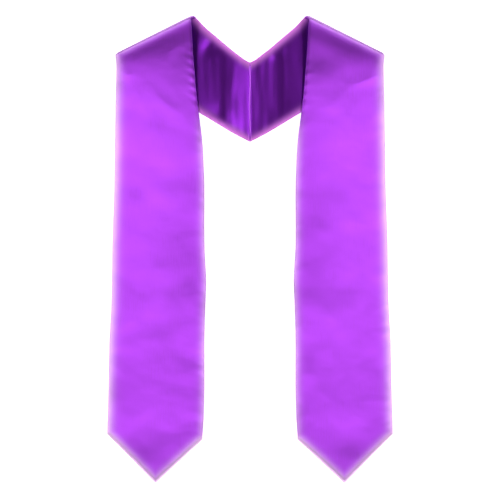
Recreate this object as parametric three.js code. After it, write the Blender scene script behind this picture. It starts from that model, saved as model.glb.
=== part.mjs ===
// Choir stole in plain satin, laid flat and face up, folded once at each shoulder.
// Millimetres, Z up. The floor is z = 0, +Y points to the neck, the centre-back seam is x = 0.
// Each half is a strip of two cloths, a face and a lining, sewn together round its edge.
// The strip starts at the centre-back seam with its face down, turns over at the shoulder
// fold, and runs down the front with its face up to a pointed end.
import * as THREE from 'three';

// Cloth
const clothWall = 1.2; // thickness of one cloth
const clothGap = 0.3; // clearance between neighbouring cloths
const edgeHeight = 1.45; // half the strip's thickness at its edges
const edgeRun = 2.2; // width over which a sewn edge rounds over
const innerEdgeRun = 1.3; // the same on the inner skin of a cloth
const faceCrown = 2.6; // swell of the face between the edges of a front panel
const liningCrown = 1.2; // swell of the lining along the centre-back seam
const innerRun = 6.5; // distance over which the swell rises from the neckline and inner edge
const outerRun = 9; // the same from the outer edge of a front panel
const lowerRun = 5; // and from the lower edge of the back
const hemRun = 1.1; // and from the pointed hem

// Shoulder fold, as its outline shows from above. Pairs hold the value at the neck end and
// the value at the outer corner.
const peak = new THREE.Vector2(78.3, 314.92); // inner end, the highest point of the outline
const foldCorner = new THREE.Vector2(179.4, 264.5); // outer end
const foldHalfHeights = [8, 2.4]; // half the height of the strip's middle as it turns over
const foldReaches = [3.2, 2]; // width over which it rounds over
const foldSquareness = 0.4; // 1 for a round fold, less for a squarer one
const foldLean = 0.02; // slope of its top towards the panel
const foldSlide = 7; // slide of the strip along the fold while it turns
const foldSections = 10; // steps round the half turn
const dropShares = [0.03, 0.45]; // share of the fold's height that is lost close to the fold
const dropRuns = [10, 6.5]; // distance from the fold at which that drop is steepest
const slopeRuns = [96, 32]; // distance from the fold over which two thirds of the rest go
const slopeStart = 14; // distance over which that slope grows to its full steepness
const slopeLead = 0.1; // share of the steepness that it has at the fold
const reliefRun = 30; // distance from the fold over which dents appear

// Where the front panel steps off the back of the stole
const backEdge = new THREE.Vector2(67.3, 183); // where the lower edge comes out from under it
const backStep = 66; // distance over which a panel's underside comes down from the back
const faceStep = 0.7; // how much lower the face lies beyond the back
const faceStepRun = 75; // distance over which the face comes down

// Swell of the linings beside the centre-back seam, steep on the left and gentle on the right.
// Pairs hold the value at the seam's lower end and the value at the neckline.
const seamLow = 152; // y of the lower end
const seamHigh = 232; // y from which the value at the neckline holds
const seamRises = { left: [7.3, 5.9], right: [5.2, 5.2] };
const seamFlanks = { left: [50, 34], right: [44, 44] }; // width over which the linings rise
const seamCurves = { left: 1.5, right: 1.05 }; // 1 for an even slope, more for one that eases off
const swellEnd = 92; // distance from the seam at which the linings lie flat again
const swellFall = 62; // distance over which they come down

// Pointed end
const tip = new THREE.Vector2(127.2, -314.3);
const innerCorner = new THREE.Vector2(63.9, -255.7);
const outerCorner = new THREE.Vector2(192.1, -248.3);
const endSections = 5; // sections from the last straight one to the hem
const hemLean = 0.72; // distance square to the hem for each millimetre along y

// Seam ridge behind the neck
const ridgeWidth = 2.6;
const ridgeHeight = 1.2;
const ridgeInset = 3.4; // its ends stop this far inside the edges
const ridgeEndSize = 0.55; // height of its ends, as a share of its full height
const ridgeEndRun = 0.1; // share of its length over which each end rises
const ridgeWander = 0.6; // how far the seam strays sideways
const ridgeTurns = { start: 0.6, end: 7.6 }; // phase of that wander at both ends
const ridgeSections = 22;
const ridgeFoot = ridgeWidth / 2 + ridgeWander; // farthest that its foot reaches sideways

// Sections of the right half from the seam to the fold: neckline end, lower end, and the
// number of sections up to the next row.
const backRows = [
  { neckX: 0, neckY: 251.7, lowX: 0, lowY: 144.7, sections: 1 },
  { neckX: 6.7, neckY: 255.2, lowX: 9, lowY: 149.2, sections: 1 },
  { neckX: 14.1, neckY: 260.6, lowX: 24, lowY: 157.2, sections: 1 },
  { neckX: 27.0, neckY: 270.6, lowX: 46, lowY: 170.3, sections: 2 },
  { neckX: 43.0, neckY: 284.2, lowX: 80, lowY: 191.8, sections: 2 },
  { neckX: 59.2, neckY: 298.1, lowX: 127, lowY: 225.8, sections: 2 },
];

// Sections of the right front panel from the fold to the straight one above the point.
const frontRows = [
  { innerX: 78.2, innerY: 294, outerX: 179.9, outerY: 248, sections: 5 },
  { innerX: 76.6, innerY: 266, outerX: 180.2, outerY: 230, sections: 5 },
  { innerX: 74.4, innerY: 237, outerX: 180.7, outerY: 211, sections: 5 },
  { innerX: 71.4, innerY: 205, outerX: 181.1, outerY: 189, sections: 3 },
  { innerX: 67.6, innerY: 174, outerX: 181.4, outerY: 165, sections: 2 },
  { innerX: 64.2, innerY: 147, outerX: 181.8, outerY: 142, sections: 2 },
  { innerX: 62.4, innerY: 118, outerX: 182.2, outerY: 116, sections: 2 },
  { innerX: 61.2, innerY: 80, outerX: 182.7, outerY: 79, sections: 2 },
  { innerX: 61.2, innerY: 8, outerX: 185.1, outerY: 8, sections: 2 },
  { innerX: 58.9, innerY: -40, outerX: 185.8, outerY: -40, sections: 2 },
  { innerX: 59.9, innerY: -76, outerX: 186.6, outerY: -76, sections: 2 },
  { innerX: 61.2, innerY: -122, outerX: 189.1, outerY: -122, sections: 2 },
  { innerX: 61.2, innerY: -186, outerX: 190.5, outerY: -186, sections: 2 },
  { innerX: 62.2, innerY: -228, outerX: 191.6, outerY: -227, sections: 1 },
];

// Dents and soft folds. Side 1 is the right half, -1 the left, 0 both. Each is an oval at
// x, y with half sizes along and across, turned by turn degrees, that rises or sinks by rise.
const frontFolds = [
  { side: -1, x: 92, y: 263, along: 17, across: 12, turn: -26, rise: 0.3 },
  { side: 1, x: 90, y: 257, along: 22, across: 16, turn: -26, rise: 0.6 },
  { side: 0, x: 166, y: 242, along: 9, across: 12, turn: 0, rise: -0.35 },
  { side: 1, x: 152, y: 229, along: 19, across: 7, turn: 27, rise: -0.4 },
  { side: 0, x: 112, y: 198, along: 24, across: 14, turn: 60, rise: -0.3 },
  { side: 0, x: 80, y: -70, along: 10, across: 20, turn: 0, rise: -0.3 },
  { side: 0, x: 80, y: -169, along: 10, across: 16, turn: 0, rise: -0.25 },
  { side: 0, x: 131, y: -250, along: 34, across: 27, turn: 0, rise: 0.6 },
];
const backFolds = [
  { side: -1, x: 42, y: 178, along: 17, across: 14, turn: -30, rise: 2 },
  { side: -1, x: 53, y: 277, along: 20, across: 9, turn: -52, rise: 2.2 },
  { side: -1, x: 40, y: 226, along: 30, across: 8, turn: 64, rise: -0.3 },
  { side: 1, x: 36, y: 262, along: 9, across: 6, turn: 35, rise: 1.2 },
];

// Gathers beside the inner edge of a front panel: a row of crests from y = low upwards, which
// fades out at reach from the edge.
const gathers = [
  { side: -1, low: 198, crests: 7, spacing: 12.2, reach: 8, lean: 0.5, rise: 0.34 },
  { side: 1, low: 200, crests: 5, spacing: 13.4, reach: 6, lean: 0.3, rise: 0.3 },
];
const gatherFade = 1.6; // how sharply they fade out
const gatherLead = 0.75; // share of a spacing over which the row starts and stops

// How a sewn edge rounds over: share of its run, and share of the height reached there.
const rim = [
  { run: 0, rise: 0 },
  { run: 0.3, rise: 0.72 },
  { run: 1, rise: 1 },
];
const middleShares = [0.08, 0.25, 0.5, 0.75, 0.91]; // columns between the two rims

const smooth = (t) => THREE.MathUtils.smoothstep(t, 0, 1);
const foldLength = foldCorner.distanceTo(peak);
const foldDirection = foldCorner.clone().sub(peak).normalize();
const foldOutward = new THREE.Vector2(-foldDirection.y, foldDirection.x);
const backHeight = 2 * edgeHeight + clothGap;
const backEdgeDirection = foldCorner.clone().sub(backEdge).normalize();

// Signed distance of a point from a line through start, positive to the line's left.
function leftOf(point, start, direction) {
  return direction.x * (point.y - start.y) - direction.y * (point.x - start.x);
}

// Rise of the table's dents and folds at a point of one half.
function foldRise(table, side, place) {
  let rise = 0;
  for (const fold of table) {
    if (fold.side !== 0 && fold.side !== side) continue;
    const offset = new THREE.Vector2(place.x - fold.x, place.y - fold.y);
    offset.rotateAround(new THREE.Vector2(), THREE.MathUtils.degToRad(-fold.turn));
    const reach = (offset.x / fold.along) ** 2 + (offset.y / fold.across) ** 2;
    rise += fold.rise * Math.exp(-reach);
  }
  return rise;
}

// Rise of the gathers at a point of a front panel.
function gatherRise(side, place, fromInner) {
  let rise = 0;
  for (const row of gathers) {
    if (row.side !== side) continue;
    const crest = (place.y - row.lean * fromInner - row.low) / row.spacing;
    const shown = smooth(crest + gatherLead) * smooth(row.crests - 1 + gatherLead - crest);
    const wave = (1 + Math.cos(2 * Math.PI * crest)) / 2;
    rise += row.rise * wave * shown * Math.exp(-((fromInner / row.reach) ** gatherFade));
  }
  return rise;
}

// Value level with a place of a pair that is given for the ends of the fold.
function alongFold(place, [atNeck, atCorner]) {
  const share = foldDirection.dot(place.clone().sub(peak)) / foldLength;
  return THREE.MathUtils.lerp(atNeck, atCorner, THREE.MathUtils.clamp(share, 0, 1));
}

// Distance of a place on a front panel from the end of the fold's rounding.
function fromFold(place) {
  const inward = -leftOf(place, peak, foldDirection);
  return Math.max(0, inward - alongFold(place, foldReaches) - edgeHeight);
}

// How far the fold still holds a front panel up, from 1 at the fold to 0.
function heldUp(place) {
  const away = fromFold(place);
  const near = away / alongFold(place, dropRuns);
  const drop = (1 + near) * Math.exp(-near);
  const begun = (away * (away + slopeLead * slopeStart)) / (away + slopeStart);
  const slope = Math.exp(-begun / alongFold(place, slopeRuns));
  return THREE.MathUtils.lerp(slope, drop, alongFold(place, dropShares));
}

// Height of the underside of a front panel above the floor, and the swell of its face.
function frontHeights(place) {
  const held = heldUp(place);
  const overBack = leftOf(place, backEdge, backEdgeDirection);
  const settled = backHeight * smooth(1 + overBack / backStep);
  const face = faceCrown + faceStep * smooth(1 + overBack / faceStepRun);
  const top = 2 * alongFold(place, foldHalfHeights) - foldLean * alongFold(place, foldReaches);
  return {
    underside: THREE.MathUtils.lerp(settled, top, held),
    swell: Math.max(0, face - settled) * (1 - held),
  };
}

// Rise of a lining away from the centre-back seam.
function seamSwell(side, place) {
  const key = side === 1 ? 'right' : 'left';
  const share = smooth((place.y - seamLow) / (seamHigh - seamLow));
  const rise = THREE.MathUtils.lerp(...seamRises[key], share);
  const flank = THREE.MathUtils.lerp(...seamFlanks[key], share);
  return rise * (1 - THREE.MathUtils.clamp(1 - place.x / flank, 0, 1) ** seamCurves[key]);
}

// Share of the swell that a cloth reaches at a distance from its two long edges.
function crown(fromFirst, fromLast, lastRun) {
  return (1 - Math.exp(-fromFirst / innerRun)) * (1 - Math.exp(-fromLast / lastRun));
}

// The sections of the right half in order. Each gives its two ends in plan, its part of the
// strip, the angle round the fold, and how far its middle hangs towards the point.
function spreadRows(rows, endsOf, part) {
  const first = new THREE.SplineCurve(rows.map((row) => endsOf(row)[0]));
  const last = new THREE.SplineCurve(rows.map((row) => endsOf(row)[1]));
  const sections = [];
  rows.forEach((row, index) => {
    const count = index === rows.length - 1 ? 1 : row.sections;
    for (let step = 0; step < count; step += 1) {
      const t = (index + step / count) / (rows.length - 1);
      sections.push({ part, first: first.getPoint(t), last: last.getPoint(t), angle: 0, hem: null });
    }
  });
  return sections;
}

// Share of its full reach that the fold has at an angle round it.
function foldReach(angle) {
  return Math.max(0, Math.cos(angle)) ** foldSquareness;
}

function foldEnds(angle) {
  const slide = (foldSlide * angle) / Math.PI;
  return [peak, foldCorner].map((corner, end) => {
    const out = foldReaches[end] * (foldReach(angle) - 1) - edgeHeight;
    return corner.clone().addScaledVector(foldOutward, out).addScaledVector(foldDirection, slide);
  });
}

function halfSections() {
  const quarter = Math.PI / 2;
  const backEnds = (row) => [
    new THREE.Vector2(row.neckX, row.neckY),
    new THREE.Vector2(row.lowX, row.lowY),
  ];
  const frontEnds = (row) => [
    new THREE.Vector2(row.innerX, row.innerY),
    new THREE.Vector2(row.outerX, row.outerY),
  ];
  const [foldFirst, foldLast] = foldEnds(-quarter);
  const [turnedFirst, turnedLast] = foldEnds(quarter);
  const foldStart = { neckX: foldFirst.x, neckY: foldFirst.y, lowX: foldLast.x, lowY: foldLast.y };
  const frontStart = {
    innerX: turnedFirst.x,
    innerY: turnedFirst.y,
    outerX: turnedLast.x,
    outerY: turnedLast.y,
    sections: 2,
  };
  const sections = spreadRows([...backRows, foldStart], backEnds, 'back');
  sections.pop();
  for (let step = 0; step < foldSections; step += 1) {
    const angle = -quarter + (Math.PI * step) / foldSections;
    const [first, last] = foldEnds(angle);
    sections.push({ part: 'fold', first, last, angle, hem: null });
  }
  sections.push(...spreadRows([frontStart, ...frontRows], frontEnds, 'front'));
  const straight = sections[sections.length - 1];
  for (let step = 1; step <= endSections; step += 1) {
    sections.push({ ...straight, hem: { share: step / endSections, rim: rim[2] } });
  }
  sections.push({ ...straight, hem: { share: 1, rim: rim[1] } });
  sections.push({ ...straight, hem: { share: 1, rim: rim[0] } });
  return sections;
}

// Point of the pointed hem at a share of the panel's width, moved in from the hem.
function hemPoint(share, inset) {
  const corner = share < 0.5 ? innerCorner : outerCorner;
  const place = corner.clone().lerp(tip, 1 - Math.abs(2 * share - 1));
  const slope = tip.clone().sub(corner).normalize();
  place.y += inset / Math.abs(slope.x);
  return place;
}

// One point of a cloth: where a column crosses a section, on the cloth's outer or inner skin.
function clothPoint(cloth, section, column, skin) {
  const inset = skin === 'inner' ? clothWall : 0;
  const rimRun = skin === 'inner' ? innerEdgeRun : edgeRun;
  const width = section.first.distanceTo(section.last);
  let fromFirst = column.share * width;
  if (column.rim) {
    const fromRim = inset + column.rim.run * rimRun;
    fromFirst = column.share < 0.5 ? fromRim : width - fromRim;
  }
  const share = fromFirst / width;
  const place = section.first.clone().lerp(section.last, share);
  let risen = column.rim ? column.rim.rise : 1;
  if (section.hem) {
    place.lerp(hemPoint(share, inset + section.hem.rim.run * rimRun), section.hem.share);
    risen = Math.min(risen, section.hem.share === 1 ? section.hem.rim.rise : 1);
  }
  place.x = Math.max(place.x, clothGap / 2);

  // Swell of this cloth here. Only the upper cloth swells: the lower one lies flat.
  const lastRun = section.part === 'back' ? lowerRun : outerRun;
  const crowned = crown(fromFirst, width - fromFirst, lastRun);
  let swell = 0;
  const normal = new THREE.Vector3(0, 0, section.part === 'back' ? -1 : 1);
  let support = 0;
  if (section.part === 'back' && cloth.layer === -1) {
    const rise = liningCrown + seamSwell(cloth.side, place) + foldRise(backFolds, cloth.side, place);
    swell = smooth((swellEnd - place.x) / swellFall) * crowned * rise;
  }
  if (section.part === 'fold') {
    const outward = Math.cos(section.angle);
    normal.set(foldOutward.x * outward, foldOutward.y * outward, Math.sin(section.angle));
    support = alongFold(place, foldHalfHeights) * (1 + Math.sin(section.angle));
    if (section.angle > 0) {
      support -= foldLean * alongFold(place, foldReaches) * (1 - foldReach(section.angle));
    }
  }
  if (section.part === 'front') {
    const heights = frontHeights(place);
    support = heights.underside + gatherRise(cloth.side, place, fromFirst);
    if (cloth.layer === 1) {
      const fromHem = Math.abs(place.y - hemPoint(share, 0).y) * hemLean;
      const hemCrown = section.hem ? 1 - Math.exp(-fromHem / hemRun) : 1;
      const shown = smooth(fromFold(place) / reliefRun);
      const dents = shown * foldRise(frontFolds, cloth.side, place);
      swell = crowned * hemCrown * heights.swell + dents;
    }
  }
  const top = edgeHeight + Math.max(0, swell) - (skin === 'inner' ? clothWall : 0);
  const height = clothGap / 2 + (top - clothGap / 2) * risen;
  return new THREE.Vector3(
    cloth.side * (place.x + cloth.layer * height * normal.x),
    place.y + cloth.layer * height * normal.y,
    edgeHeight + support + cloth.layer * height * normal.z,
  );
}

// Volume inside a closed indexed mesh, negative where its faces point inwards.
function signedVolume(points, faces) {
  let volume = 0;
  for (const [a, b, c] of faces) {
    volume += points[a].dot(points[b].clone().cross(points[c])) / 6;
  }
  return volume;
}

function solidGeometry(points, faces) {
  const turned = signedVolume(points, faces) < 0;
  const geometry = new THREE.BufferGeometry().setFromPoints(points);
  geometry.setIndex(faces.flatMap(([a, b, c]) => (turned ? [a, c, b] : [a, b, c])));
  geometry.computeVertexNormals();
  return geometry;
}

function gridFaces(rows, columns, start) {
  const faces = [];
  for (let i = 0; i + 1 < rows; i += 1) {
    for (let j = 0; j + 1 < columns; j += 1) {
      const a = start + i * columns + j;
      const b = a + columns;
      faces.push([a, b, b + 1], [a, b + 1, a + 1]);
    }
  }
  return faces;
}

// A cloth as one closed wall: its outer skin, its inner skin, and the band between their rims.
function clothGeometry(cloth) {
  const sections = halfSections();
  const columns = [
    ...rim.map((step) => ({ share: 0, rim: step })),
    ...middleShares.map((share) => ({ share, rim: null })),
    ...[...rim].reverse().map((step) => ({ share: 1, rim: step })),
  ];
  const skinPoints = (skin) =>
    sections.flatMap((section) =>
      columns.map((column) => clothPoint(cloth, section, column, skin)),
    );
  const points = [...skinPoints('outer'), ...skinPoints('inner')];
  const innerStart = sections.length * columns.length;
  const outerFaces = gridFaces(sections.length, columns.length, 0);
  const innerFaces = gridFaces(sections.length, columns.length, innerStart);
  const faces = [...outerFaces, ...innerFaces.map(([a, b, c]) => [a, c, b])];
  for (const [a, b] of gridBorder(sections.length, columns.length)) {
    faces.push([b, a, innerStart + a], [b, innerStart + a, innerStart + b]);
  }
  return solidGeometry(points, faces);
}

// Pairs of neighbouring border vertices of a grid, in the order its faces run them.
function gridBorder(rows, columns) {
  const loop = [];
  for (let i = 0; i + 1 < rows; i += 1) loop.push(i * columns);
  for (let j = 0; j + 1 < columns; j += 1) loop.push((rows - 1) * columns + j);
  for (let i = rows - 1; i > 0; i -= 1) loop.push(i * columns + columns - 1);
  for (let j = columns - 1; j > 0; j -= 1) loop.push(j);
  return loop.map((vertex, index) => [vertex, loop[(index + 1) % loop.length]]);
}

// The seam's ridge: a low half-round bar that follows the top of the lining.
function ridgeGeometry() {
  const centre = halfSections()[0];
  const lining = { side: 1, layer: -1 };
  const length = centre.first.y - centre.last.y;
  const arc = [0, 45, 90, 135, 180].map((degrees) => THREE.MathUtils.degToRad(degrees));
  const points = [];
  for (let step = 0; step < ridgeSections; step += 1) {
    const t = step / (ridgeSections - 1);
    const share = THREE.MathUtils.lerp(ridgeInset / length, 1 - ridgeInset / length, t);
    const base = clothPoint(lining, centre, { share, rim: null }, 'outer');
    const phase = THREE.MathUtils.lerp(ridgeTurns.start, ridgeTurns.end, t);
    const wander = ridgeWander * Math.sin(phase) * Math.sin(Math.PI * t);
    const ended = smooth(Math.min(t, 1 - t) / ridgeEndRun);
    const height = ridgeHeight * THREE.MathUtils.lerp(ridgeEndSize, 1, ended);
    const foot = base.z + clothGap + seamSwell(-1, new THREE.Vector2(ridgeFoot, base.y));
    for (const angle of arc) {
      points.push(
        new THREE.Vector3(
          wander + (ridgeWidth / 2) * Math.cos(angle),
          base.y,
          foot + height * Math.sin(angle),
        ),
      );
    }
  }
  const faces = [];
  const count = arc.length;
  for (let i = 0; i + 1 < ridgeSections; i += 1) {
    for (let j = 0; j < count; j += 1) {
      const a = i * count + j;
      const b = i * count + ((j + 1) % count);
      faces.push([a, b, b + count], [a, b + count, a + count]);
    }
  }
  const last = (ridgeSections - 1) * count;
  for (let j = 1; j + 1 < count; j += 1) {
    faces.push([0, j + 1, j], [last, last + j, last + j + 1]);
  }
  return solidGeometry(points, faces);
}

function satin(color) {
  return new THREE.MeshStandardMaterial({ color, roughness: 0.42, metalness: 0 });
}

function clothMesh(name, side, layer, color) {
  const mesh = new THREE.Mesh(clothGeometry({ side, layer }), satin(color));
  mesh.name = name;
  return mesh;
}

function seamMesh() {
  const mesh = new THREE.Mesh(ridgeGeometry(), satin('#8a2cc0'));
  mesh.name = 'centre_back_seam';
  return mesh;
}

const stole = new THREE.Group();
stole.name = 'choir_stole';
stole.add(
  clothMesh('left_face', -1, 1, '#b046ea'),
  clothMesh('left_lining', -1, -1, '#7a22ac'),
  clothMesh('right_face', 1, 1, '#b046ea'),
  clothMesh('right_lining', 1, -1, '#7a22ac'),
  seamMesh(),
);

export default stole;
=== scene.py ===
"""Choir stole in violet satin, lying face up with one fold at each shoulder.

Metres, Z up. The stole lies on the floor, z = 0, with its neck towards +Y, and x = 0 is the
centre-back seam. Each half is a face and a lining, sewn together round their edge.
"""

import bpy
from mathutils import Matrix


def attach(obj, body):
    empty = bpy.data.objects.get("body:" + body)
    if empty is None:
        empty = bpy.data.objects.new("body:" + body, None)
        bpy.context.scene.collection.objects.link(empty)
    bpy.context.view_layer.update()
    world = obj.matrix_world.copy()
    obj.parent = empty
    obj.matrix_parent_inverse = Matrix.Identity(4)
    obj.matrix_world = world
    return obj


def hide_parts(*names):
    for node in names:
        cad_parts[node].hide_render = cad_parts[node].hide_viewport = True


bl_info = {
    "name": "Choir stole",
    "version": (1, 0, 0),
    "blender": (4, 5, 0),
    "location": "3D View > Sidebar > Stole",
    "description": "Makes a satin choir stole as it lies on a table, with its stage",
    "category": "Add Mesh",
}

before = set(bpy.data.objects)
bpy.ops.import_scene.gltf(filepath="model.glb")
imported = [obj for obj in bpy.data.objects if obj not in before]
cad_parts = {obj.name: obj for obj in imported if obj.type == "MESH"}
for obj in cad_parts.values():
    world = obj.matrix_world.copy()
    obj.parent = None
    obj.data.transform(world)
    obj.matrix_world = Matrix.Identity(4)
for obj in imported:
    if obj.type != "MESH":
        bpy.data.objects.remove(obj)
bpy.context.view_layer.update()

import math

import bpy
import numpy as np
from mathutils import Vector, noise

MM = 0.001
QUARTER = math.pi / 2

# Strip
EDGE_HEIGHT = 1.45 * MM  # half the strip's thickness at its edges
EDGE_RUN = 2.6 * MM  # width over which a sewn edge rounds over
RIM_STEPS = 7
FACE_CROWN = 2.6 * MM  # swell of the face between the edges of a front panel
LINING_CROWN = 1.2 * MM  # swell of the lining along the centre-back seam
INNER_RUN = 6.5 * MM  # distance over which the swell rises from the neckline and inner edge
OUTER_RUNS = {1: 9 * MM, -1: 5 * MM}  # from the face's outer and the lining's lower edge
HEM_RUN = 1.1 * MM  # and from the pointed hem
SEAM_GAP = 0.06 * MM  # between the two cloths where they are sewn
CREASE_HEIGHT = 0.26 * MM  # soft creases of the lining, which run along y
CREASE_SIZES = np.array([8, 50]) * MM  # distance between them, and their length
INNER_PUCKERS = (9 * MM, 9 * MM)  # distance between them, and their reach in from the edge
OUTER_PUCKERS = (11 * MM, 8 * MM)
PUCKER_SHARPNESS = 1.4
FINE_PUCKERS = 2.3  # how many times closer the finer puckers lie
WAVE_SIZES = (62 * MM, 27 * MM)  # of the broad waves, and of those half as high
COLUMNS_WIDTH = 125 * MM  # width of the strip that the mesh step divides into columns
CURVE_SAMPLES = 1500  # along the smooth curve through a table's rows

# Noise. Each cloth has its own seed, and each kind of noise an offset from it.
SIDE_SEED, LAYER_SEED = 11.3, 3.1
SEED_OFFSETS = {"fine_puckers": 5, "small_waves": 7, "outer_puckers": 40, "creases": 67.2}

# Shoulder fold. Pairs hold the value at its neck end and the value at its outer corner.
PEAK = np.array([78.3, 314.92]) * MM
FOLD_CORNER = np.array([179.4, 264.5]) * MM
FOLD_HALF_HEIGHTS = (8 * MM, 2.4 * MM)
FOLD_REACHES = (3.2 * MM, 2 * MM)  # width over which it rounds over
FOLD_SQUARENESS = 0.4  # 1 for a round fold, less for a squarer one
FOLD_LEAN = 0.02  # slope of its top towards the panel
FOLD_SLIDE = 7 * MM  # slide of the strip along the fold while it turns
FOLD_STEPS = 18
DROP_SHARES = (0.02, 0.38)  # share of the fold's height that a panel loses close to the fold
DROP_RUNS = (7.5 * MM, 3.7 * MM)  # half the distance from the fold at which it is steepest
SLOPE_RUNS = (96 * MM, 32 * MM)  # distance from the fold over which two thirds of the rest go
SLOPE_START = 14 * MM  # distance over which that slope grows to its full steepness
FOLD_LENGTH = np.linalg.norm(FOLD_CORNER - PEAK)
FOLD_DIRECTION = (FOLD_CORNER - PEAK) / FOLD_LENGTH
FOLD_OUTWARD = np.array([-FOLD_DIRECTION[1], FOLD_DIRECTION[0]])

# Step off the back of the stole
BACK_EDGE = np.array([67.3, 183.0]) * MM
BACK_EDGE_DIRECTION = (FOLD_CORNER - BACK_EDGE) / np.linalg.norm(FOLD_CORNER - BACK_EDGE)
BACK_HEIGHT = 3.2 * MM
BACK_STEP = 66 * MM  # distance over which a panel's underside comes down from the back
FACE_STEP = 0.7 * MM  # how much lower the face lies beyond the back
FACE_STEP_RUN = 75 * MM

# Centre-back seam: the linings swell beside it, steeply on the left and gently on the right.
# Pairs hold the value at the lower end of the seam and the value at the neckline.
SEAM_LOW, SEAM_HIGH = 152 * MM, 232 * MM
SEAM_RISES = {-1: (7.3 * MM, 5.9 * MM), 1: (5.2 * MM, 5.2 * MM)}
SEAM_FLANKS = {-1: (50 * MM, 34 * MM), 1: (44 * MM, 44 * MM)}
SEAM_CURVES = {-1: 1.5, 1: 1.05}  # 1 for an even slope, more for one that eases off
SWELL_END = 92 * MM  # distance from the seam at which the linings lie flat again
SWELL_FALL = 62 * MM  # distance over which they come down

# Ridge of that seam
RIDGE_STATIONS = 48
RIDGE_SIDES = 14
RIDGE_SPAN = (0.025, 0.975)  # its ends, as shares of the seam's length
RIDGE_END_SIZE = 0.45  # width of its ends, as a share of its full width
RIDGE_END_RUN = 0.11  # share of its length over which each end widens
RIDGE_WANDER = 0.5 * MM  # how far it strays sideways
RIDGE_TURNS = (0.6, 7.6)  # phase of that wander at both ends
RIDGE_LIFT = 0.1 * MM  # height of its middle above the linings
# painted highlight over the seam ridge, which turns its colour pale
RIDGE_PAINTED_HIGHLIGHT = 0.25

# Pale edges: a painted highlight in place of the rim light along them and the fold.
# Columns: strength at the edge, distance over which it fades, and how sharply.
PAINTED_HIGHLIGHT = {
    "neckline": (0.95, 8.3 * MM, 2.5),
    "lower": (0.95, 7.5 * MM, 2.2),
    "inner": (0.5, 5 * MM, 1.4),
    "outer": (0.72, 6 * MM, 1.4),
    "hem": (0.97, 6 * MM, 1.6),
    "fold": (0.6, 4.2 * MM, 1.4),
}
PAINTED_HIGHLIGHT_INNER_FROM = 196 * MM  # the inner edge gets the painted highlight below here
PAINTED_HIGHLIGHT_INNER_FULL = 130 * MM  # and wholly so below here

# Painted shade along the inner side of the front panels, where less light falls on them,
# along their inner edge where it stands over the back, and along the fold.
FOLD_SHADE = 0.32
FOLD_SHADE_RUN = 4 * MM
SIDE_SHADE = 0.17
SIDE_SHADE_RUN = (20 * MM, 80 * MM)  # distances in from the edge between which it fades
SIDE_SHADE_ENDS = (-88 * MM, 104 * MM)  # y of its ends
SIDE_SHADE_FADE = 36 * MM  # length over which it fades there
EDGE_SHADE = 0.65
EDGE_SHADE_RUN = 2.8 * MM
SHADE_COLOUR = (0.12, 0.08, 0.16, 1)  # multiplies the satin's own

# Satin. Scales are repeats a metre across the grain and along it, or in every direction.
STREAK_SCALE = (900, 45, 1)
THREAD_SCALE = (3200, 520, 1)
CLOUD_SCALE = 16.0
CRUMPLE_SCALE = 70.0
THREAD_DEPTH = 0.08 * MM
CRUMPLE_DEPTH = 0.6 * MM
BUMP_STRENGTH = 0.25
TONES = ((0.55, 0.93), (1.0, 1.05))  # places on the colour ramp, and shares of the colour there
GLOSS_SPREAD = 0.03  # how far the streaks change the roughness

# Pointed end
TIP = np.array([127.2, -314.3]) * MM
INNER_CORNER = np.array([63.9, -255.7]) * MM
OUTER_CORNER = np.array([192.1, -248.3]) * MM
HEM_LEAN = 0.72  # distance square to the hem for each millimetre along y
RELIEF_RUN = 30 * MM  # distance from the fold over which dents and puckers appear

# Sections of the right half in millimetres, as in the solids. Columns: x and y of the
# neckline or inner end, x and y of the lower or outer end.
BACK_ROWS = np.array(
    [
        (0, 251.7, 0, 144.7),
        (6.7, 255.2, 9, 149.2),
        (14.1, 260.6, 24, 157.2),
        (27.0, 270.6, 46, 170.3),
        (43.0, 284.2, 80, 191.8),
        (59.2, 298.1, 127, 225.8),
    ]
)
FRONT_ROWS = np.array(
    [
        (78.2, 294, 179.9, 248),
        (76.6, 266, 180.2, 230),
        (74.4, 237, 180.7, 211),
        (71.4, 205, 181.1, 189),
        (67.6, 174, 181.4, 165),
        (64.2, 147, 181.8, 142),
        (62.4, 118, 182.2, 116),
        (61.2, 80, 182.7, 79),
        (61.2, 8, 185.1, 8),
        (58.9, -40, 185.8, -40),
        (59.9, -76, 186.6, -76),
        (61.2, -122, 189.1, -122),
        (61.2, -186, 190.5, -186),
        (62.2, -228, 191.6, -227),
    ]
)

# Dents and soft folds in millimetres. Columns: side (1 right, -1 left, 0 both), x, y, half
# length along, half width across, turn in degrees, rise.
FRONT_FOLDS = [
    (-1, 92, 263, 17, 12, -26, 0.3),
    (1, 90, 257, 22, 16, -26, 0.6),
    (0, 166, 242, 9, 12, 0, -0.35),
    (1, 152, 229, 19, 7, 27, -0.4),
    (0, 112, 198, 24, 14, 60, -0.3),
    (0, 80, -70, 10, 20, 0, -0.3),
    (0, 80, -169, 10, 16, 0, -0.25),
    (0, 131, -250, 34, 27, 0, 0.6),
]
BACK_FOLDS = [
    (-1, 43, 180, 17, 14, -30, 1.5),
    (-1, 30, 167, 14, 15, 0, 1.9),
    (-1, 53, 277, 20, 9, -52, 2.2),
    (1, 36, 262, 9, 6, 35, 1.2),
]

# Gathers beside the inner edge of a front panel in millimetres. Columns: side, y of the
# lowest crest, crests, distance between them, reach from the edge, lean, rise.
GATHERS = [
    (-1, 198, 7, 12.2, 8, 0.5, 0.34),
    (1, 200, 5, 13.4, 6, 0.3, 0.3),
]
GATHER_SHARPNESS = 1.6

# Lights. Columns: name, place and size in metres, the setting that holds its power.
LIGHTS = [
    ("side_light_left", (-10.3, 2.0, 12.3), (3.2, 3.2), "side_light"),
    ("side_light_right", (10.3, 2.0, 12.3), (3.2, 3.2), "side_light"),
    ("low_light_front", (0, -13, 6), (7, 2.5), "front_light"),
    ("low_light_back", (0, 13, 2.8), (7, 2.5), "back_light"),
]
HORIZON_TOP = 0.15  # height up to which the room glows, as the sine of its angle

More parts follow.
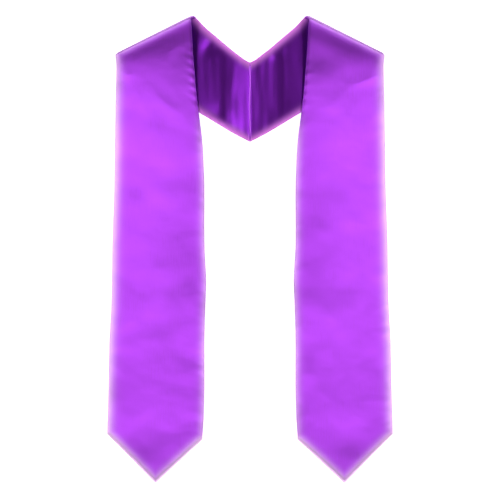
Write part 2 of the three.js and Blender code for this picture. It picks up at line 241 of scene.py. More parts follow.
# Floor and camera, in metres
FLOOR_SIZE = 30
FLOOR_DROP = 0.3 * MM  # how far the floor lies below the stole
FLOOR_ROUGHNESS = 0.9
FLOOR_GLOW = 0.72
CAMERA_SHIFT = 0.7 * MM  # how far the camera stands below the stole's middle in the picture
SENSOR_WIDTH = 36  # in millimetres


class StoleShape(bpy.types.PropertyGroup):
    """Sizes of the cloth that a user would change."""

    cloth_thickness: bpy.props.FloatProperty(
        name="Cloth thickness",
        description="Thickness of one satin cloth",
        default=0.45 * MM,
        unit="LENGTH",
    )
    mesh_step: bpy.props.FloatProperty(
        name="Mesh step",
        description="Distance between the mesh's rows and columns",
        default=2.2 * MM,
        unit="LENGTH",
    )
    pucker_height: bpy.props.FloatProperty(
        name="Seam pucker height",
        description="Height of the small gathers along the sewn edges",
        default=0.14 * MM,
        unit="LENGTH",
    )
    wave_height: bpy.props.FloatProperty(
        name="Wave height",
        description="Height of the broad soft waves of the cloth",
        default=0.4 * MM,
        unit="LENGTH",
    )
    seam_width: bpy.props.FloatProperty(
        name="Seam ridge width",
        description="Width of the pressed ridge of the centre-back seam",
        default=2.2 * MM,
        unit="LENGTH",
    )


class StoleFinish(bpy.types.PropertyGroup):
    """Colours and gloss of the satin."""

    face_colour: bpy.props.FloatVectorProperty(
        name="Face colour",
        description="Colour of the face's satin",
        subtype="COLOR",
        size=3,
        default=(0.395, 0.056, 0.71),
    )
    # Darker and bluer than the face's colour: partly the lining's own deeper tint, partly painted
    # shade of the back behind the neck
    lining_colour: bpy.props.FloatVectorProperty(
        name="Lining colour",
        description="Colour of the lining's satin",
        subtype="COLOR",
        size=3,
        default=(0.285, 0.026, 0.6),
    )
    # Pale lilac of the painted edge highlight on the face
    face_highlight_colour: bpy.props.FloatVectorProperty(
        name="Edge colour of the face",
        description="Pale lilac of the face where it turns over a seam or a fold",
        subtype="COLOR",
        size=3,
        default=(1.0, 0.66, 1.0),
    )
    # Lilac of the painted edge highlight on the lining
    lining_highlight_colour: bpy.props.FloatVectorProperty(
        name="Edge colour of the lining",
        description="Lilac of the lining beside the seams",
        subtype="COLOR",
        size=3,
        default=(0.8, 0.22, 0.85),
    )
    sheen_colour: bpy.props.FloatVectorProperty(
        name="Sheen colour",
        description="Tint of the soft light on edges that turn away",
        subtype="COLOR",
        size=3,
        default=(0.95, 0.62, 1.0),
    )
    gloss_roughness: bpy.props.FloatProperty(
        name="Gloss roughness",
        description="Spread of the satin's highlight",
        default=0.522,
        min=0,
        max=1,
    )
    gloss_share: bpy.props.FloatProperty(
        name="Coloured gloss",
        description="Share of the light that the fibres reflect in their own colour",
        default=0.95,
        min=0,
        max=1,
    )
    # Metallic share under the painted edge highlight, so that the pale colour shows matte
    edge_gloss_share: bpy.props.FloatProperty(
        name="Coloured gloss of edges",
        description="The same where the satin is pale, so that its edges look soft",
        default=0.08,
        min=0,
        max=1,
    )
    gloss_stretch: bpy.props.FloatProperty(
        name="Gloss stretch",
        description="How far the highlight is drawn out across the fibres",
        default=0.84,
        min=0,
        max=1,
    )


class StoleStage(bpy.types.PropertyGroup):
    """Camera, lights and floor."""

    camera_height: bpy.props.FloatProperty(
        name="Camera height",
        description="Height of the camera above the floor",
        default=9,
        unit="LENGTH",
    )
    view_width: bpy.props.FloatProperty(
        name="View width",
        description="Width of the picture at the stole",
        default=0.673,
        unit="LENGTH",
    )
    side_light: bpy.props.FloatProperty(
        name="Side lights",
        description="Power of each of the two side lights",
        default=1170,
        unit="POWER",
    )
    front_light: bpy.props.FloatProperty(
        name="Front light",
        description="Power of the low light in front of the pointed ends",
        default=500,
        unit="POWER",
    )
    back_light: bpy.props.FloatProperty(
        name="Back light",
        description="Power of the low light behind the neck",
        default=220,
        unit="POWER",
    )
    horizon_glow: bpy.props.FloatProperty(
        name="Horizon glow",
        description="Strength of the pale room's light from low down",
        default=3.0,
    )
    room_light: bpy.props.FloatProperty(
        name="Room light",
        description="Strength of the pale room's light from above",
        default=0.03,
    )
    floor_colour: bpy.props.FloatVectorProperty(
        name="Floor colour",
        description="Colour of the plain floor",
        subtype="COLOR",
        size=3,
        default=(0.92, 0.92, 0.92),
    )


def smooth(t):
    """Smooth step from 0 to 1."""
    t = np.clip(t, 0, 1)
    return t * t * (3 - 2 * t)


def curve_through(points, t):
    """Places at t, from 0 to 1, on the smooth curve through the points."""
    last = len(points) - 1
    place = np.clip(t, 0, 1) * last
    index = np.minimum(place.astype(int), last - 1)
    w = (place - index)[:, None]
    before = points[np.maximum(index - 1, 0)]
    start = points[index]
    end = points[index + 1]
    after = points[np.minimum(index + 2, last)]
    leave = (end - before) / 2
    arrive = (after - start) / 2
    cubic = 2 * start - 2 * end + leave + arrive
    square = -3 * start + 3 * end - 2 * leave - arrive
    return cubic * w**3 + square * w**2 + leave * w + start


def left_of(places, start, direction):
    """Signed distance from a line, positive to its left."""
    x = places[..., 0] - start[0]
    y = places[..., 1] - start[1]
    return direction[0] * y - direction[1] * x


def fold_reach(angle):
    """Share of its full reach that the fold has at an angle round it."""
    return np.maximum(0, np.cos(angle)) ** FOLD_SQUARENESS


def fold_ends(angle):
    """Both ends of the section at an angle round the shoulder fold."""
    slide = FOLD_DIRECTION * FOLD_SLIDE * angle / math.pi
    ends = []
    for corner, reach in zip((PEAK, FOLD_CORNER), FOLD_REACHES):
        out = reach * (fold_reach(angle) - 1) - EDGE_HEIGHT
        ends.append(corner + FOLD_OUTWARD * out + slide)
    return np.concatenate(ends)


def along_fold(places, pair):
    """Value level with each place of a pair that is given for the ends of the fold."""
    share = np.clip(((places - PEAK) @ FOLD_DIRECTION) / FOLD_LENGTH, 0, 1)
    return pair[0] + (pair[1] - pair[0]) * share


def spaced_rows(rows, step):
    """Sections through the rows, a step apart along the middle of the strip."""
    t = np.linspace(0, 1, CURVE_SAMPLES)
    ends = curve_through(rows, t)
    middle = (ends[:, :2] + ends[:, 2:]) / 2
    travelled = np.concatenate([[0], np.cumsum(np.linalg.norm(np.diff(middle, axis=0), axis=1))])
    count = max(2, int(round(travelled[-1] / step)) + 1)
    return curve_through(rows, np.interp(np.linspace(0, travelled[-1], count), travelled, t))


def rim_profile():
    """How a sewn edge rounds over: shares of its run and of its height."""
    angles = np.linspace(0, QUARTER, RIM_STEPS)
    return 1 - np.cos(angles), np.sin(angles)


def half_sections(step):
    """All sections of the right half from the centre-back seam to the hem.

    Gives their ends, part (0 back, 1 fold, 2 front), angle round the fold, share of the
    way to the pointed hem, distance in from the hem and height share there.
    """
    back = spaced_rows(np.vstack([BACK_ROWS * MM, fold_ends(-QUARTER)]), step)[:-1]
    angles = np.linspace(-QUARTER, QUARTER, FOLD_STEPS + 1)[:-1]
    fold = np.array([fold_ends(angle) for angle in angles])
    front = spaced_rows(np.vstack([fold_ends(QUARTER), FRONT_ROWS * MM]), step)
    run, rise = rim_profile()
    middle = (front[-1, :2] + front[-1, 2:]) / 2
    hem_steps = int(np.linalg.norm(TIP - middle) / step)
    hem_share = np.concatenate([np.arange(1, hem_steps + 1) / hem_steps, np.ones(RIM_STEPS - 1)])
    hem = np.repeat(front[-1:], len(hem_share), axis=0)
    before_hem = len(back) + len(fold) + len(front)
    return {
        "ends": np.vstack([back, fold, front, hem]),
        "part": np.repeat([0, 1, 2], [len(back), len(fold), len(front) + len(hem)]),
        "angle": np.concatenate([np.zeros(len(back)), angles, np.zeros(len(front) + len(hem))]),
        "hem_share": np.concatenate([np.zeros(before_hem), hem_share]),
        "hem_inset": np.concatenate(
            [np.zeros(before_hem), np.full(hem_steps, EDGE_RUN), run[-2::-1] * EDGE_RUN]
        ),
        "hem_rise": np.concatenate([np.ones(before_hem + hem_steps), rise[-2::-1]]),
    }


def table_rise(table, side, places):
    """Rise of a table's dents and folds at the places of one half."""
    rise = np.zeros(places.shape[:-1])
    for row_side, x, y, along, across, turn, height in table:
        if row_side not in (0, side):
            continue
        offset = places - np.array([x, y]) * MM
        c, s = math.cos(math.radians(turn)), math.sin(math.radians(turn))
        u = offset[..., 0] * c + offset[..., 1] * s
        v = offset[..., 1] * c - offset[..., 0] * s
        rise += height * MM * np.exp(-((u / (along * MM)) ** 2) - (v / (across * MM)) ** 2)
    return rise


def gathers(side, places, from_inner):
    """Rise of the gathers beside the inner edge of a front panel."""
    rise = np.zeros(places.shape[:-1])
    for row_side, low, crests, spacing, reach, lean, height in GATHERS:
        if row_side != side:
            continue
        turn = (places[..., 1] - lean * from_inner) / MM - low
        shown = smooth(turn / spacing + 0.75) * smooth(crests - 0.25 - turn / spacing)
        wave = (1 + np.cos(2 * math.pi * turn / spacing)) / 2
        fade = np.exp(-((from_inner / (reach * MM)) ** GATHER_SHARPNESS))
        rise += height * MM * wave * shown * fade
    return rise


def soft_noise(places, scale, seed):
    """Smooth noise from -1 to 1 at each place."""
    flat = places.reshape(-1, 2)
    values = [noise.noise(Vector((x / scale, y / scale, seed))) for x, y in flat]
    return np.array(values).reshape(places.shape[:-1])


def puckers(along, from_edge, seed, spacing, reach):
    """Small uneven puckers beside a seam, at distances along it and in from it."""
    line = np.stack([along, np.zeros_like(along)], axis=-1)
    coarse = soft_noise(line, spacing, seed)
    fine = soft_noise(line, spacing / FINE_PUCKERS, seed + SEED_OFFSETS["fine_puckers"])
    return (coarse + 0.5 * fine) * np.exp(-((from_edge / reach) ** PUCKER_SHARPNESS))


def hem_points(share, inset):
    """Points of the pointed hem at shares of the width, moved in from the hem."""
    corner = np.where((share < 0.5)[..., None], INNER_CORNER, OUTER_CORNER)
    weight = (1 - np.abs(2 * share - 1))[..., None]
    points = corner * (1 - weight) + TIP * weight
    slope = (TIP - corner) / np.linalg.norm(TIP - corner, axis=-1, keepdims=True)
    points[..., 1] += inset / np.abs(slope[..., 0])
    return points


def front_heights(places, from_fold):
    """Height of the underside of a front panel, and the swell of its face."""
    away = np.maximum(from_fold, 0)
    near = away / along_fold(places, DROP_RUNS)
    drop = (1 + near + near**2 / 2) * np.exp(-near)
    begun = away**2 / (away + SLOPE_START)
    slope = np.exp(-begun / along_fold(places, SLOPE_RUNS))
    share = along_fold(places, DROP_SHARES)
    held = share * drop + (1 - share) * slope
    over_back = left_of(places, BACK_EDGE, BACK_EDGE_DIRECTION)
    settled = BACK_HEIGHT * smooth(1 + over_back / BACK_STEP)
    face = FACE_CROWN + FACE_STEP * smooth(1 + over_back / FACE_STEP_RUN)
    top = 2 * along_fold(places, FOLD_HALF_HEIGHTS) - FOLD_LEAN * along_fold(places, FOLD_REACHES)
    underside = settled * (1 - held) + top * held
    return underside, np.maximum(0, face - settled) * (1 - held)


def seam_swell(side, places):
    """Rise of a lining away from the centre-back seam."""
    share = smooth((places[..., 1] - SEAM_LOW) / (SEAM_HIGH - SEAM_LOW))
    rise, flank = (
        pair[0] + (pair[1] - pair[0]) * share for pair in (SEAM_RISES[side], SEAM_FLANKS[side])
    )
    return rise * (1 - np.clip(1 - places[..., 0] / flank, 0, 1) ** SEAM_CURVES[side])


def paleness(edge, distance):
    """Strength of the painted edge highlight at a distance in from an edge of its table."""
    strength, run, sharpness = PAINTED_HIGHLIGHT[edge]
    return strength * np.exp(-((distance / run) ** sharpness))


def cloth_looks(places, part, inward, from_first, from_last, from_hem):
    """Painted edge highlight and painted shade at each place of a cloth, for the material."""
    below = (PAINTED_HIGHLIGHT_INNER_FROM - places[..., 1]) / (PAINTED_HIGHLIGHT_INNER_FROM - PAINTED_HIGHLIGHT_INNER_FULL)
    # Painted highlight along the edges of the back, and along the front's edges and fold
    on_back = np.maximum(paleness("neckline", from_first), paleness("lower", from_last))
    on_front = paleness("inner", from_first) * smooth(below)
    others = (("outer", from_last), ("hem", from_hem), ("fold", np.abs(inward)))
    for edge, distance in others:
        on_front = np.maximum(on_front, paleness(edge, distance))

    # Painted shade of the panels' inner side, of their inner edge and of the fold
    start, end = SIDE_SHADE_RUN
    low, high = SIDE_SHADE_ENDS
    from_ends = np.minimum(places[..., 1] - low, high - places[..., 1])
    across = smooth((end - from_first) / (end - start))
    side_shade = SIDE_SHADE * across * smooth(0.5 + from_ends / SIDE_SHADE_FADE)
    edge_shade = EDGE_SHADE * np.exp(-((from_first / EDGE_SHADE_RUN) ** 2)) * smooth(1 - below)
    fold_shade = FOLD_SHADE * np.exp(-((inward / FOLD_SHADE_RUN) ** 2))
    on_panel = np.where(part == 2, np.maximum(side_shade, edge_shade), 0)
    return {
        "paleness": np.where(part == 0, on_back, on_front),
        "shade": np.where(part == 0, 0, np.maximum(fold_shade, on_panel)),
    }


def cloth_grid(side, layer, shape):
    """Points, flat pattern places and looks of one cloth's outer skin.

    side is 1 for the right half and -1 for the left; layer is 1 for the face and -1 for
    the lining.
    """
    sections = half_sections(shape.mesh_step)
    run, rise = rim_profile()
    first = sections["ends"][:, None, :2]
    last = sections["ends"][:, None, 2:]
    width = np.linalg.norm(last - first, axis=-1)
    count = int(COLUMNS_WIDTH / shape.mesh_step)
    shares = np.linspace(0, 1, count + 1)[1:-1]
    rim_out = run * EDGE_RUN
    inner = rim_out[-1] + shares[None, :] * (width - 2 * rim_out[-1])
    from_first = np.empty((len(width), len(run) * 2 + len(shares)))
    from_first[:, : len(run)] = rim_out
    from_first[:, len(run) : -len(run)] = inner
    from_first[:, -len(run) :] = width - rim_out[::-1]
    share = from_first / width
    from_last = width - from_first
    risen = np.ones(from_first.shape)
    risen[:, : len(rise)] = rise
    risen[:, -len(rise) :] = rise[::-1]

    places = first + (last - first) * share[..., None]
    hem_share = sections["hem_share"][:, None]
    hem = hem_points(share, sections["hem_inset"][:, None])
    places = places + (hem - places) * hem_share[..., None]
    risen = np.minimum(risen, np.where(hem_share == 1, sections["hem_rise"][:, None], 1))

    part = np.broadcast_to(sections["part"][:, None], share.shape)
    angle = np.broadcast_to(sections["angle"][:, None], share.shape)
    radius = along_fold(places, FOLD_HALF_HEIGHTS)
    reach = along_fold(places, FOLD_REACHES)
    inward = -left_of(places, PEAK, FOLD_DIRECTION)
    from_fold = inward - reach - EDGE_HEIGHT
    from_hem = np.abs(places[..., 1] - hem_points(share, 0)[..., 1]) * HEM_LEAN
    from_hem = np.where(hem_share > 0, from_hem, np.inf)
    steps = np.linalg.norm(np.diff(places, axis=0, prepend=places[:1]), axis=-1)
    along = np.cumsum(steps, axis=0)

    lean = FOLD_LEAN * reach * (1 - fold_reach(angle)) * (angle > 0)
    fold_support = radius * (1 + np.sin(angle)) - lean
    underside, face_swell = front_heights(places, from_fold)
    underside = underside + gathers(side, places, from_first)
    support = np.select([part == 0, part == 1], [0, fold_support], underside)

    # Swell of the cloth that lies on top
    crown = (1 - np.exp(-from_first / INNER_RUN)) * (1 - np.exp(-from_last / OUTER_RUNS[layer]))
    seed = SIDE_SEED * side + LAYER_SEED * layer
    small = puckers(along, from_first, seed, *INNER_PUCKERS)
    small = small + puckers(along, from_last, seed + SEED_OFFSETS["outer_puckers"], *OUTER_PUCKERS)
    waves = soft_noise(places, WAVE_SIZES[0], seed)
    waves = waves + 0.5 * soft_noise(places, WAVE_SIZES[1], seed + SEED_OFFSETS["small_waves"])
    relief = shape.pucker_height * small + shape.wave_height * waves
    if layer == -1:
        shown = smooth((SWELL_END - places[..., 0]) / SWELL_FALL) * (part == 0)
        swell = LINING_CROWN + seam_swell(side, places) + table_rise(BACK_FOLDS, side, places)
        creases = soft_noise(places / CREASE_SIZES, 1, seed + SEED_OFFSETS["creases"])
        relief = relief + CREASE_HEIGHT * creases
        swell = shown * np.maximum(0, crown * swell + relief)
    else:
        shown = np.where(part == 2, smooth(from_fold / RELIEF_RUN), 0)
        crown = crown * (1 - np.exp(-from_hem / HEM_RUN))
        relief = relief + table_rise(FRONT_FOLDS, side, places)
        swell = np.where(part == 2, crown * face_swell, 0)
        swell = np.maximum(0, swell + shown * relief)
    height = SEAM_GAP / 2 + (EDGE_HEIGHT + swell - SEAM_GAP / 2) * risen

    outward = np.where(part == 1, np.cos(angle), 0)[..., None] * FOLD_OUTWARD
    upward = np.select([part == 0, part == 1], [-1, np.sin(angle)], 1)
    plan = places + layer * height[..., None] * outward
    z = EDGE_HEIGHT + support + layer * height * upward
    points = np.concatenate([plan, z[..., None]], axis=-1)
    points[..., 0] = np.maximum(points[..., 0], 0) * side

    # Flat pattern: the back opened out about the fold, so that the grain runs on
    arc = radius * QUARTER - reach - EDGE_HEIGHT
    opened = np.select(
        [part == 0, part == 1], [2 * inward + arc, inward - radius * angle], -arc
    )
    pattern = places + opened[..., None] * FOLD_OUTWARD
    pattern[..., 0] *= side
    return points, pattern, cloth_looks(places, part, inward, from_first, from_last, from_hem)


def set_look(mesh, name, values):
    """Stores a value for each vertex, for the material."""
    look = mesh.attributes.new(name, "FLOAT", "POINT")
    look.data.foreach_set("value", values)


def grid_object(name, points, pattern, looks, turned):
    """A mesh object from a grid of points, with the flat pattern as its UV map."""
    rows, columns = points.shape[:2]
    corner = np.arange(rows * columns).reshape(rows, columns)
    quads = np.stack(
        [corner[:-1, :-1], corner[1:, :-1], corner[1:, 1:], corner[:-1, 1:]], axis=-1
    ).reshape(-1, 4)
    if turned:
        quads = quads[:, ::-1]
    mesh = bpy.data.meshes.new(name)
    mesh.from_pydata(points.reshape(-1, 3).tolist(), [], quads.tolist())
    uv = mesh.uv_layers.new(name="pattern")
    uv.data.foreach_set("uv", pattern.reshape(-1, 2)[quads.ravel()].ravel())
    for look, values in looks.items():
        set_look(mesh, look, values.ravel())
    mesh.shade_smooth()
    made = bpy.data.objects.new(name, mesh)
    bpy.context.collection.objects.link(made)
    return made


def thicken(target, thickness):
    """Gives a skin its wall inwards."""
    bpy.ops.object.select_all(action="DESELECT")
    target.select_set(True)
    bpy.context.view_layer.objects.active = target
    wall = target.modifiers.new("wall", "SOLIDIFY")
    wall.thickness = thickness
    wall.offset = -1
    wall.use_even_offset = False
    bpy.ops.object.modifier_apply(modifier=wall.name)


def pattern_size(pattern):
    """Width, length and area of a flat pattern."""
    flat = pattern.reshape(-1, 2)
    low, high = flat.min(axis=0), flat.max(axis=0)
    a = pattern[:-1, :-1]
    b = pattern[1:, 1:] - a
    c = pattern[1:, :-1] - a
    d = pattern[:-1, 1:] - a
    area = np.abs(c[..., 0] * b[..., 1] - c[..., 1] * b[..., 0]).sum() / 2
    area += np.abs(b[..., 0] * d[..., 1] - b[..., 1] * d[..., 0]).sum() / 2
    return float(high[0] - low[0]), float(high[1] - low[1]), float(area)


def new_node(tree, kind, place, **values):
    """A shader node with its values set."""
    node = tree.nodes.new(kind)
    node.location = place
    for key, value in values.items():
        if key in node.inputs:
            node.inputs[key].default_value = value
        else:
            setattr(node, key, value)
    return node


def stretched(tree, place, uv, scale):
    """Output that gives the flat pattern's places, scaled."""
    mapping = new_node(tree, "ShaderNodeMapping", place, Scale=scale)
    tree.links.new(uv, mapping.inputs["Vector"])
    return mapping.outputs["Vector"]


def noise_output(tree, place, vector, scale, detail):
    """Output of a noise over places of the flat pattern."""
    made = new_node(tree, "ShaderNodeTexNoise", place, Scale=scale, Detail=detail)
    tree.links.new(vector, made.inputs["Vector"])
    return made.outputs["Fac"]


def bump_node(tree, place, height, depth):
    """A faint relief that a noise gives."""
    bump = new_node(tree, "ShaderNodeBump", place, Strength=BUMP_STRENGTH, Distance=depth)
    tree.links.new(height, bump.inputs["Height"])
    return bump


def satin_material(name, colour, highlight_colour):
    """Woven satin: gloss drawn out across the fibres, fine weave and a soft sheen."""
    finish = bpy.context.scene.stole_finish
    material = bpy.data.materials.new(name)
    material.use_nodes = True
    tree = material.node_tree
    link = tree.links.new
    bsdf = tree.nodes["Principled BSDF"]
    bsdf.inputs["Anisotropic"].default_value = finish.gloss_stretch
    bsdf.inputs["Sheen Weight"].default_value = 0.1
    bsdf.inputs["Sheen Roughness"].default_value = 0.3
    bsdf.inputs["Sheen Tint"].default_value = (*finish.sheen_colour, 1)

    uv = new_node(tree, "ShaderNodeUVMap", (-1500, 0), uv_map="pattern").outputs["UV"]
    tangent = new_node(
        tree, "ShaderNodeTangent", (-300, -500), direction_type="UV_MAP", uv_map="pattern"
    )
    link(tangent.outputs["Tangent"], bsdf.inputs["Tangent"])

    along_grain = stretched(tree, (-1250, 300), uv, STREAK_SCALE)
    streaks = noise_output(tree, (-1000, 300), along_grain, 1.0, 2.0)
    clouds = noise_output(tree, (-1000, 600), uv, CLOUD_SCALE, 2.0)
    amount = new_node(tree, "ShaderNodeMath", (-750, 450), operation="ADD")
    link(streaks, amount.inputs[0])
    link(clouds, amount.inputs[1])
    colours = new_node(tree, "ShaderNodeValToRGB", (-550, 450))
    for stop, (position, share) in zip(colours.color_ramp.elements, TONES):
        stop.position = position
        stop.color = (*(Vector(colour) * share), 1)
    link(amount.outputs["Value"], colours.inputs["Fac"])
    # Painted highlight: the colour goes towards the pale edge colour, and the metallic share
    # drops, where the attribute says
    paleness = new_node(tree, "ShaderNodeAttribute", (-550, 750), attribute_name="paleness")
    edges = new_node(tree, "ShaderNodeMix", (-250, 500), data_type="RGBA")
    edges.inputs["B"].default_value = (*highlight_colour, 1)
    link(paleness.outputs["Fac"], edges.inputs["Factor"])
    link(colours.outputs["Color"], edges.inputs["A"])
    # Painted shade: the colour is multiplied by the shade colour where the attribute says
    shade = new_node(tree, "ShaderNodeAttribute", (-250, 850), attribute_name="shade")
    shaded = new_node(tree, "ShaderNodeMix", (0, 500), data_type="RGBA", blend_type="MULTIPLY")
    shaded.inputs["B"].default_value = SHADE_COLOUR
    link(shade.outputs["Fac"], shaded.inputs["Factor"])
    link(edges.outputs["Result"], shaded.inputs["A"])
    link(shaded.outputs["Result"], bsdf.inputs["Base Color"])
    shine = new_node(tree, "ShaderNodeMapRange", (-250, 250))
    shine.inputs["To Min"].default_value = finish.gloss_share
    shine.inputs["To Max"].default_value = finish.edge_gloss_share
    link(paleness.outputs["Fac"], shine.inputs["Value"])
    link(shine.outputs["Result"], bsdf.inputs["Metallic"])

    gloss = new_node(tree, "ShaderNodeMapRange", (-550, 150))
    gloss.inputs["To Min"].default_value = finish.gloss_roughness - GLOSS_SPREAD
    gloss.inputs["To Max"].default_value = finish.gloss_roughness + GLOSS_SPREAD
    link(streaks, gloss.inputs["Value"])
    link(gloss.outputs["Result"], bsdf.inputs["Roughness"])

    threads = stretched(tree, (-1250, -100), uv, THREAD_SCALE)
    weave = noise_output(tree, (-1000, -100), threads, 1.0, 1.0)
    weave_bump = bump_node(tree, (-550, -100), weave, THREAD_DEPTH)
    crumple = noise_output(tree, (-1000, -350), uv, CRUMPLE_SCALE, 3.0)
    crumple_bump = bump_node(tree, (-300, -250), crumple, CRUMPLE_DEPTH)
    link(weave_bump.outputs["Normal"], crumple_bump.inputs["Normal"])
    link(crumple_bump.outputs["Normal"], bsdf.inputs["Normal"])
    return material


def make_cloth(side, layer):
    """One cloth of one half, in place of its plain solid."""
    shape = bpy.context.scene.stole_shape
    finish = bpy.context.scene.stole_finish
    half = "right" if side == 1 else "left"
    cloth = "face" if layer == 1 else "lining"
    node = f"{half}_{cloth}"
    points, pattern, looks = cloth_grid(side, layer, shape)
    piece = grid_object(f"{node}_satin", points, pattern, looks, turned=side * layer < 0)
    thicken(piece, shape.cloth_thickness)
    name = f"woven_satin_{cloth}"
    colours = getattr(finish, f"{cloth}_colour"), getattr(finish, f"{cloth}_highlight_colour")
    piece.data.materials.append(bpy.data.materials.get(name) or satin_material(name, *colours))
    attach(piece, "root")
    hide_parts(node)
    width, length, area = pattern_size(pattern)
    return piece


def seam_stations(shape, count):
    """Places along the centre-back seam: y, z of the linings' top, and share of the way."""
    points, _, _ = cloth_grid(1, -1, shape)
    profile = points[0]
    share = np.linspace(*RIDGE_SPAN, count)
    y = profile[0, 1] + (profile[-1, 1] - profile[0, 1]) * share
    z = np.interp(-y, -profile[:, 1], profile[:, 2])
    return y, z, share


def make_ridge():
    """The pressed ridge of the centre-back seam, extruded along the top of the linings."""
    shape = bpy.context.scene.stole_shape
    finish = bpy.context.scene.stole_finish
    y, z, share = seam_stations(shape, RIDGE_STATIONS)
    ended = smooth(np.minimum(share, 1 - share) / RIDGE_END_RUN)
    size = RIDGE_END_SIZE + (1 - RIDGE_END_SIZE) * ended
    turn = RIDGE_TURNS[0] + (RIDGE_TURNS[1] - RIDGE_TURNS[0]) * share
    wander = RIDGE_WANDER * np.sin(turn) * np.sin(math.pi * share)
    centres = np.stack([wander, y, z + RIDGE_LIFT], axis=-1)
    bpy.ops.object.select_all(action="DESELECT")
    bpy.ops.mesh.primitive_circle_add(
        vertices=RIDGE_SIDES,
        radius=shape.seam_width / 2 * size[0],
        fill_type="NGON",
        location=centres[0],
        rotation=(QUARTER, 0, 0),
    )
    ridge = bpy.context.active_object
    ridge.name = "centre_back_seam_ridge"
    ridge.data.name = ridge.name
    bpy.ops.object.transform_apply(location=True, rotation=True, scale=True)
    bpy.ops.object.mode_set(mode="EDIT")
    bpy.ops.mesh.select_all(action="SELECT")
    for before, after, grow in zip(centres, centres[1:], size[1:] / size[:-1]):
        bpy.ops.mesh.extrude_region_move(TRANSFORM_OT_translate={"value": after - before})
        bpy.ops.transform.resize(value=(grow, 1, grow), center_override=after)
    bpy.ops.mesh.select_all(action="SELECT")
    bpy.ops.mesh.normals_make_consistent(inside=False)
    bpy.ops.object.mode_set(mode="OBJECT")
    bpy.ops.object.shade_smooth()
    uv = ridge.data.uv_layers.get("pattern") or ridge.data.uv_layers.new(name="pattern")
    for loop in ridge.data.loops:
        uv.data[loop.index].uv = ridge.data.vertices[loop.vertex_index].co[:2]
    satin = satin_material("woven_satin_seam", finish.lining_colour, finish.lining_highlight_colour)
    ridge.data.materials.append(satin)
    # Painted highlight over the whole ridge
    set_look(ridge.data, "paleness", [RIDGE_PAINTED_HIGHLIGHT] * len(ridge.data.vertices))
    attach(ridge, "root")
    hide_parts("centre_back_seam")
    return ridge


def area_light(name, place, size, power):
    """A large soft light that points at the middle of the stole."""
    data = bpy.data.lights.new(name, "AREA")
    data.shape = "RECTANGLE"
    data.size, data.size_y = size
    data.energy = power
    lamp = bpy.data.objects.new(name, data)
    lamp.location = place
    inwards = Vector((0, 0, 0)) - lamp.location
    lamp.rotation_euler = inwards.to_track_quat("-Z", "Y").to_euler()
    bpy.context.collection.objects.link(lamp)


def pale_room(stage):
    """A white room that is brightest low down, where the stole's edges mirror it."""
    world = bpy.data.worlds.new("pale_room")
    world.use_nodes = True
    tree = world.node_tree
    link = tree.links.new
    background = tree.nodes["Background"]
    background.inputs["Color"].default_value = (1, 1, 1, 1)
    where = new_node(tree, "ShaderNodeTexCoord", (-900, 0))
    height = new_node(tree, "ShaderNodeSeparateXYZ", (-700, 0))
    link(where.outputs["Generated"], height.inputs["Vector"])
    fade = new_node(tree, "ShaderNodeMapRange", (-500, 0), interpolation_type="SMOOTHSTEP")
    fade.inputs["From Max"].default_value = HORIZON_TOP
    fade.inputs["To Min"].default_value = stage.horizon_glow
    fade.inputs["To Max"].default_value = stage.room_light
    link(height.outputs["Z"], fade.inputs["Value"])
    seen = new_node(tree, "ShaderNodeLightPath", (-500, 300))
    strength = new_node(tree, "ShaderNodeMix", (-250, 100), data_type="FLOAT")
    link(seen.outputs["Is Camera Ray"], strength.inputs["Factor"])
    link(fade.outputs["Result"], strength.inputs["A"])
    strength.inputs["B"].default_value = 1
    link(strength.outputs["Result"], background.inputs["Strength"])
    bpy.context.scene.world = world


class STOLE_OT_faces(bpy.types.Operator):
    """Makes the two outer cloths"""

    bl_idname = "stole.faces"
    bl_label = "Faces"

    def execute(self, context):
        make_cloth(-1, 1)
        make_cloth(1, 1)
        return {"FINISHED"}


class STOLE_OT_linings(bpy.types.Operator):
    """Makes the two inner cloths, which show behind the neck"""

    bl_idname = "stole.linings"
    bl_label = "Linings"

    def execute(self, context):
        make_cloth(-1, -1)
        make_cloth(1, -1)
        return {"FINISHED"}


class STOLE_OT_back_seam(bpy.types.Operator):
    """Makes the ridge of the centre-back seam"""

    bl_idname = "stole.back_seam"
    bl_label = "Centre-back seam"

    def execute(self, context):
        make_ridge()
        return {"FINISHED"}


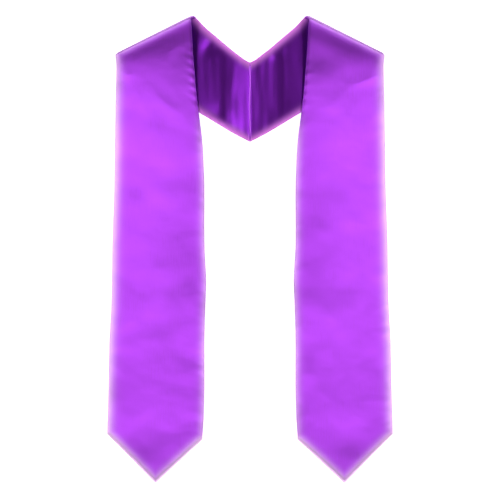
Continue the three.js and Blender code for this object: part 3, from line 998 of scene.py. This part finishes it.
class STOLE_OT_stage(bpy.types.Operator):
    """Makes the floor, the lights and the camera"""

    bl_idname = "stole.stage"
    bl_label = "Stage"

    def execute(self, context):
        stage = context.scene.stole_stage
        bpy.ops.object.select_all(action="DESELECT")
        bpy.ops.mesh.primitive_plane_add(size=FLOOR_SIZE, location=(0, 0, -FLOOR_DROP))
        floor = context.active_object
        floor.name = "floor"
        bpy.ops.object.transform_apply(location=True, rotation=True, scale=True)
        material = bpy.data.materials.new("floor_paint")
        material.use_nodes = True
        paint = material.node_tree.nodes["Principled BSDF"]
        paint.inputs["Base Color"].default_value = (*stage.floor_colour, 1)
        paint.inputs["Roughness"].default_value = FLOOR_ROUGHNESS
        paint.inputs["Emission Color"].default_value = (1, 1, 1, 1)
        paint.inputs["Emission Strength"].default_value = FLOOR_GLOW
        floor.data.materials.append(material)

        for name, place, size, power in LIGHTS:
            area_light(name, place, size, getattr(stage, power))
        pale_room(stage)

        data = bpy.data.cameras.new("camera")
        data.sensor_width = SENSOR_WIDTH
        data.lens = SENSOR_WIDTH * stage.camera_height / stage.view_width
        camera = bpy.data.objects.new("camera", data)
        camera.location = (0, -CAMERA_SHIFT, stage.camera_height)
        context.collection.objects.link(camera)
        context.scene.camera = camera
        context.scene.view_settings.view_transform = "Standard"
        return {"FINISHED"}


class STOLE_PT_panel(bpy.types.Panel):
    """Lists the stole's pieces in the sidebar"""

    bl_label = "Choir stole"
    bl_idname = "STOLE_PT_panel"
    bl_space_type = "VIEW_3D"
    bl_region_type = "UI"
    bl_category = "Stole"

    def draw(self, context):
        for group in GROUPS:
            settings = getattr(context.scene, group)
            for key in settings.__annotations__:
                self.layout.prop(settings, key)
        for operator in OPERATORS:
            self.layout.operator(operator.bl_idname)


GROUPS = {
    "stole_shape": StoleShape,
    "stole_finish": StoleFinish,
    "stole_stage": StoleStage,
}
OPERATORS = (STOLE_OT_stage, STOLE_OT_faces, STOLE_OT_linings, STOLE_OT_back_seam)


def register():
    for group in GROUPS.values():
        bpy.utils.register_class(group)
    for key, group in GROUPS.items():
        setattr(bpy.types.Scene, key, bpy.props.PointerProperty(type=group))
    for operator in OPERATORS:
        bpy.utils.register_class(operator)
    bpy.utils.register_class(STOLE_PT_panel)


def unregister():
    bpy.utils.unregister_class(STOLE_PT_panel)
    for operator in reversed(OPERATORS):
        bpy.utils.unregister_class(operator)
    for key in GROUPS:
        delattr(bpy.types.Scene, key)
    for group in reversed(GROUPS.values()):
        bpy.utils.unregister_class(group)


def main():
    register()
    bpy.ops.stole.stage()
    bpy.ops.stole.faces()
    bpy.ops.stole.linings()
    bpy.ops.stole.back_seam()


if __name__ == "__main__":
    main()
